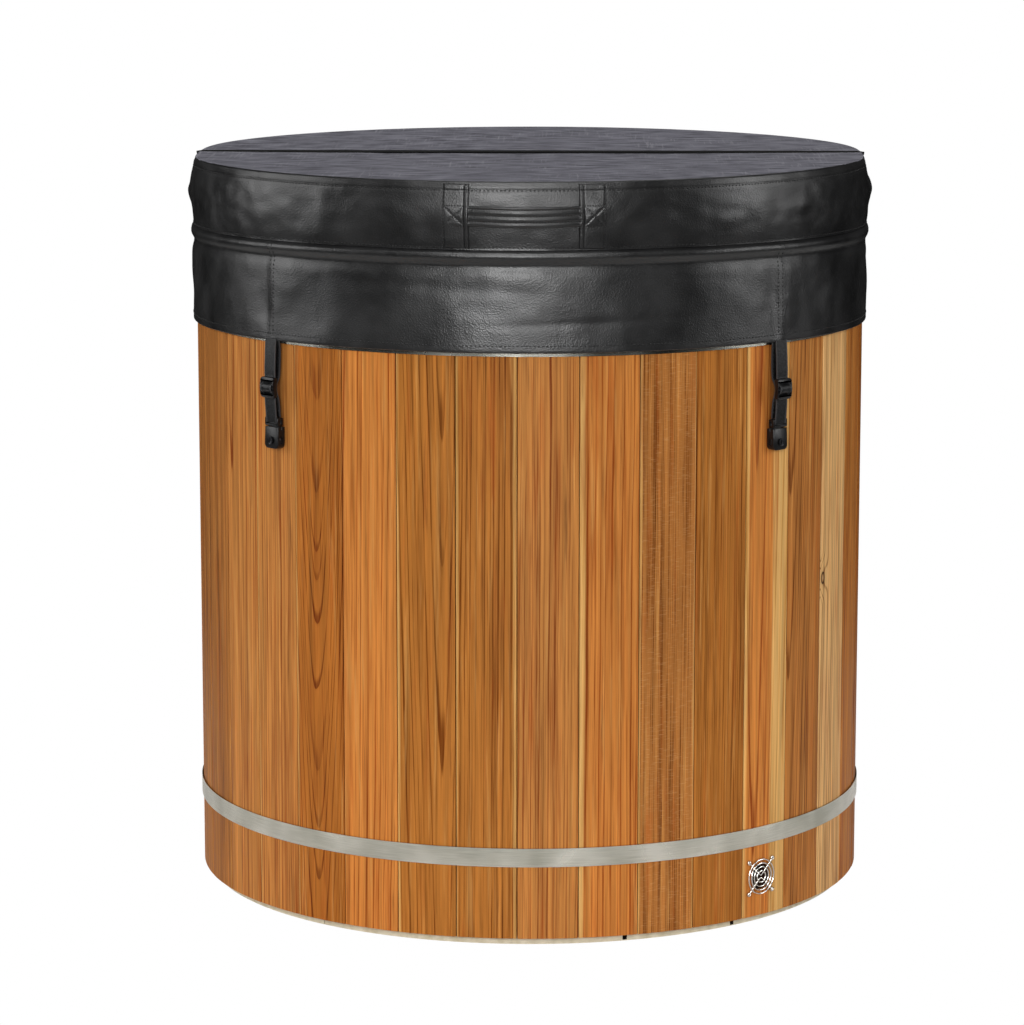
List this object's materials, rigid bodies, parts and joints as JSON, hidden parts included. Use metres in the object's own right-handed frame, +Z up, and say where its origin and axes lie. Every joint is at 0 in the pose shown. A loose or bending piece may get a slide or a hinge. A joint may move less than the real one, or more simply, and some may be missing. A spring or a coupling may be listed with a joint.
{
  "type": "cold plunge tub",
  "caption": "Upright round cedar stave tub with a moulded liner, steel bands, a drain valve and a padded folding cover whose skirt is held by lockable strap clips.",
  "frame": {"origin": "centre of the base panel's underside, on the ground", "axes": "+Z up, -Y toward the front handle, +X to the right of someone facing the front"},
  "size_m": [1.0858, 1.1531, 1.1635],
  "materials": {
    "red_cedar": "satin oiled red cedar",
    "base_timber": "plain pale timber",
    "foam": "closed-cell foam",
    "liner_polyethylene": "moulded polyethylene, satin",
    "brushed_stainless": "brushed stainless steel",
    "guard_wire": "bright plated wire",
    "drain_brass": "plain cast and turned brass",
    "cover_vinyl": "marine vinyl, dark grey with a soft grain",
    "skirt_vinyl": "marine vinyl, black leather grain",
    "strap_vinyl": "stitched black vinyl strap",
    "black_plastic": "moulded black plastic, satin"
  },
  "bodies": {
    "tub": {"stave_group_01": "red_cedar", "stave_group_02": "red_cedar", "stave_group_03": "red_cedar", "stave_group_04": "red_cedar", "stave_group_05": "red_cedar", "stave_group_06": "red_cedar", "stave_group_07": "red_cedar", "stave_group_08": "red_cedar", "stave_group_09": "red_cedar", "stave_group_10": "red_cedar", "stave_group_11": "red_cedar", "stave_group_12": "red_cedar", "base_panel": "base_timber", "floor_bearer_left": "base_timber", "floor_bearer_right": "base_timber", "floor_board": "base_timber", "insulation_jacket": "foam", "liner": "liner_polyethylene", "lower_band": "brushed_stainless", "upper_band": "brushed_stainless", "lower_band_bolt": "brushed_stainless", "upper_band_bolt": "brushed_stainless", "vent_screw_1": "brushed_stainless", "vent_screw_2": "brushed_stainless", "vent_screw_3": "brushed_stainless", "vent_screw_4": "brushed_stainless", "vent_guard": "guard_wire", "drain_fitting": "drain_brass", "drain_nut": "drain_brass", "drain_valve_body": "drain_brass", "front_left_lock": "black_plastic", "front_right_lock": "black_plastic", "rear_right_lock": "black_plastic", "rear_left_lock": "black_plastic"},
    "cover_rear": {"cover_rear_jacket": "cover_vinyl", "cover_rear_core": "foam", "rear_skirt": "skirt_vinyl", "rear_handle": "skirt_vinyl", "fold_piping": "skirt_vinyl"},
    "cover_front": {"cover_front_jacket": "cover_vinyl", "cover_front_core": "foam", "front_skirt": "skirt_vinyl", "front_handle": "skirt_vinyl"},
    "front_left_strap_clip": {"front_left_strap": "strap_vinyl", "front_left_slider": "black_plastic", "front_left_clip": "black_plastic"},
    "front_right_strap_clip": {"front_right_strap": "strap_vinyl", "front_right_slider": "black_plastic", "front_right_clip": "black_plastic"},
    "rear_right_strap_clip": {"rear_right_strap": "strap_vinyl", "rear_right_slider": "black_plastic", "rear_right_clip": "black_plastic"},
    "rear_left_strap_clip": {"rear_left_strap": "strap_vinyl", "rear_left_slider": "black_plastic", "rear_left_clip": "black_plastic"},
    "front_left_key": {"front_left_key_barrel": "guard_wire"},
    "front_right_key": {"front_right_key_barrel": "guard_wire"},
    "rear_right_key": {"rear_right_key_barrel": "guard_wire"},
    "rear_left_key": {"rear_left_key_barrel": "guard_wire"},
    "drain_lever": {"drain_valve_lever": "black_plastic"}
  },
  "joints": [
    {"name": "cover_lift", "type": "slide", "parent": "tub", "child": "cover_rear", "axis": [0, 0, 1], "range_m": [0, 0.3]},
    {"name": "cover_fold", "type": "hinge", "parent": "cover_rear", "child": "cover_front", "pos_m": [0, 0, 1.1641], "axis": [-1, 0, 0], "range_deg": [0, 180]},
    {"name": "front_left_strap_swing", "type": "hinge", "parent": "cover_front", "child": "front_left_strap_clip", "pos_m": [-0.3859, -0.3859, 0.907], "axis": [-0.7071, 0.7071, 0], "range_deg": [0, 90]},
    {"name": "front_right_strap_swing", "type": "hinge", "parent": "cover_front", "child": "front_right_strap_clip", "pos_m": [0.3859, -0.3859, 0.907], "axis": [-0.7071, -0.7071, 0], "range_deg": [0, 90]},
    {"name": "rear_right_strap_swing", "type": "hinge", "parent": "cover_rear", "child": "rear_right_strap_clip", "pos_m": [0.3859, 0.3859, 0.907], "axis": [0.7071, -0.7071, 0], "range_deg": [0, 90]},
    {"name": "rear_left_strap_swing", "type": "hinge", "parent": "cover_rear", "child": "rear_left_strap_clip", "pos_m": [-0.3859, 0.3859, 0.907], "axis": [0.7071, 0.7071, 0], "range_deg": [0, 90]},
    {"name": "front_left_key_turn", "type": "hinge", "parent": "tub", "child": "front_left_key", "pos_m": [-0.38699, -0.38699, 0.7525], "axis": [-0.7071, -0.7071, 0], "range_deg": [0, 90]},
    {"name": "front_right_key_turn", "type": "hinge", "parent": "tub", "child": "front_right_key", "pos_m": [0.38699, -0.38699, 0.7525], "axis": [0.7071, -0.7071, 0], "range_deg": [0, 90]},
    {"name": "rear_right_key_turn", "type": "hinge", "parent": "tub", "child": "rear_right_key", "pos_m": [0.38699, 0.38699, 0.7525], "axis": [0.7071, 0.7071, 0], "range_deg": [0, 90]},
    {"name": "rear_left_key_turn", "type": "hinge", "parent": "tub", "child": "rear_left_key", "pos_m": [-0.38699, 0.38699, 0.7525], "axis": [-0.7071, 0.7071, 0], "range_deg": [0, 90]},
    {"name": "drain_valve_turn", "type": "hinge", "parent": "tub", "child": "drain_lever", "pos_m": [-0.02983, 0.56922, 0.2162], "axis": [0, 0, 1], "range_deg": [0, 90]}
  ]
}
